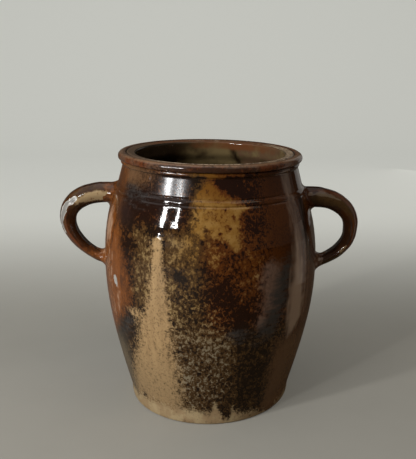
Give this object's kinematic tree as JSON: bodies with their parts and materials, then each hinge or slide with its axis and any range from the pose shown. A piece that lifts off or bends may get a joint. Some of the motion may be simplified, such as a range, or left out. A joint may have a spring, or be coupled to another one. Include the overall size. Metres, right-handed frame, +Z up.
{
  "type": "two-handled stoneware pot",
  "caption": "Open stoneware storage pot with a swelling body, rolled rim, incised shoulder lines, strap loop handles luted at the sides and a mottled brown run glaze.",
  "frame": {"origin": "centre of the flat underside, on the surface that the pot stands on", "axes": "+Z up along the throwing axis, +X through the right-hand handle, -Y towards the pictured front"},
  "size_m": [0.2994, 0.2114, 0.251],
  "materials": {
    "body_glaze": "glossy brown run glaze over tan stoneware, with a cream run, dark speckle and ochre bloom",
    "rim_glaze": "glossy red-brown glaze, worn lighter along the crown",
    "handle_glaze": "glossy dark brown glaze with olive streaks and chipped, worn high spots",
    "luting_glaze": "glossy orange-brown glaze pooled round the handle roots"
  },
  "bodies": {
    "root": {"pot_body": "body_glaze", "rim_roll": "rim_glaze", "left_handle": "handle_glaze", "right_handle": "handle_glaze", "left_upper_luting": "luting_glaze", "left_lower_luting": "luting_glaze", "right_upper_luting": "luting_glaze", "right_lower_luting": "luting_glaze"}
  },
  "joints": []
}
